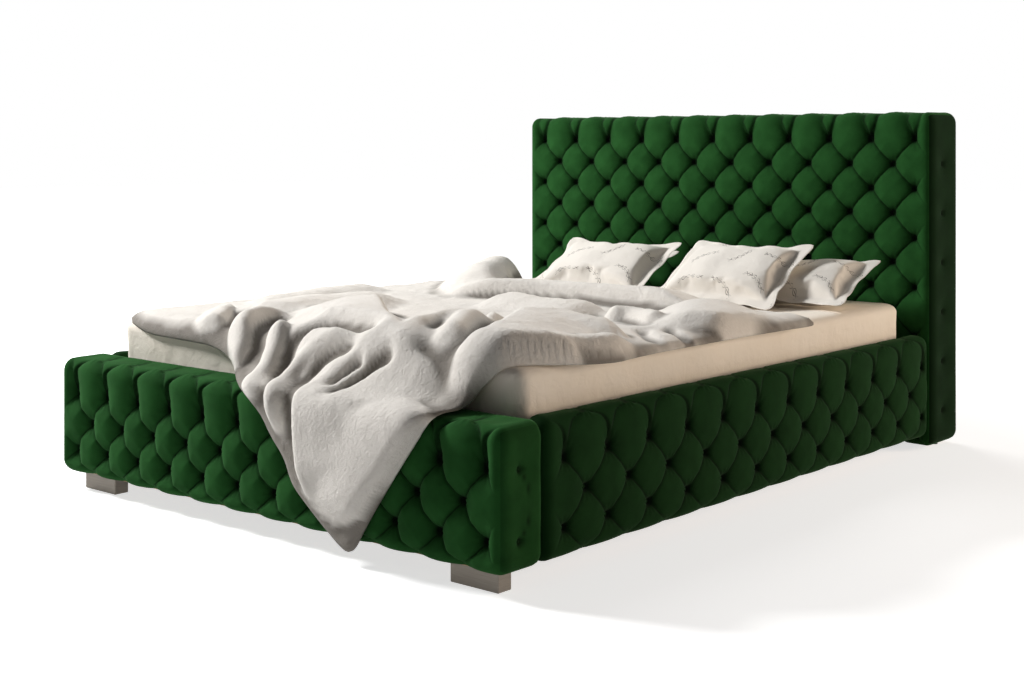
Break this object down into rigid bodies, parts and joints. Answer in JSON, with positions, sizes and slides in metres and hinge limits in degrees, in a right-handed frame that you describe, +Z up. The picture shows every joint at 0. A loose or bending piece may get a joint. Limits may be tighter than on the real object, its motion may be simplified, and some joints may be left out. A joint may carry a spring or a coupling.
{
  "type": "upholstered storage bed",
  "caption": "Upholstered double bed with diamond-tufted velvet headboard, footboard and side rails, lift-up slatted base over a storage box, mattress, duvet and pillows.",
  "frame": {"origin": "floor level, centre of the bed's outline", "axes": "+Z up, +Y from foot end to headboard, +X to the right seen from the foot end"},
  "size_m": [1.78, 2.488, 1.155],
  "materials": {
    "velvet": "matte",
    "timber": "matte",
    "back_cloth": "matte",
    "black_plastic": "matte",
    "foot_metal": "satin",
    "zinc_steel": "satin",
    "fibreboard": "matte",
    "buffer_rubber": "matte",
    "grey_tube": "satin",
    "beech": "satin",
    "strut_black": "satin",
    "strut_chrome": "polished",
    "mattress_cloth": "matte",
    "sheet_cotton": "matte",
    "duvet_linen": "matte",
    "pillow_cotton": "matte"
  },
  "bodies": {
    "frame": {"headboard_pad": "velvet", "headboard_panel": "timber", "headboard_battens": "timber", "headboard_back_cover": "back_cloth", "headboard_glides": "black_plastic", "footboard_pad": "velvet", "footboard_boards": "timber", "foot_left": "foot_metal", "foot_right": "foot_metal", "rail_pad_left": "velvet", "rail_pad_right": "velvet", "rail_board_left": "timber", "rail_board_right": "timber", "corner_brackets": "zinc_steel", "corner_bolts": "zinc_steel", "rail_ledgers": "timber", "floor_beam": "timber", "beam_legs": "black_plastic", "floor_panel_left": "fibreboard", "floor_panel_right": "fibreboard", "hinge_plate_left": "zinc_steel", "hinge_plate_right": "zinc_steel", "base_rests": "buffer_rubber", "strut_brackets": "zinc_steel"},
    "lift_base": {"base_side_tube_left": "grey_tube", "base_side_tube_right": "grey_tube", "base_head_tube": "grey_tube", "base_foot_tube": "grey_tube", "base_center_tube": "grey_tube", "slats_left": "beech", "slats_right": "beech", "slat_caps": "black_plastic", "lift_arm_left": "zinc_steel", "lift_arm_right": "zinc_steel", "strut_lugs": "zinc_steel", "mattress_stop": "grey_tube", "mattress": "mattress_cloth", "fitted_sheet": "sheet_cotton", "duvet": "duvet_linen", "pillow_left_front": "pillow_cotton", "pillow_left_back": "pillow_cotton", "pillow_right_front": "pillow_cotton", "pillow_right_back": "pillow_cotton"},
    "strut_cylinders": {"strut_cylinder_left": "strut_black", "strut_cylinder_right": "strut_black"},
    "strut_rods": {"strut_rod_left": "strut_chrome", "strut_rod_right": "strut_chrome"}
  },
  "joints": [
    {"name": "base_lift", "type": "hinge", "parent": "frame", "child": "lift_base", "pos_m": [0, 0.678, 0.345], "axis": [-1, 0, 0], "range_deg": [0, 28]},
    {"name": "strut_swing", "type": "hinge", "parent": "frame", "child": "strut_cylinders", "pos_m": [0, 0.598, 0.14], "axis": [-1, 0, 0], "range_deg": [0, 27.87]},
    {"name": "strut_slide", "type": "slide", "parent": "strut_cylinders", "child": "strut_rods", "axis": [0, -0.9901, 0.1406], "range_m": [0, 0.10647]}
  ],
  "couplings": [
    {"joint": "strut_swing", "follows": "base_lift", "ratio": 0.99553},
    {"joint": "strut_slide", "follows": "base_lift", "m_per_rad": 0.21786}
  ]
}
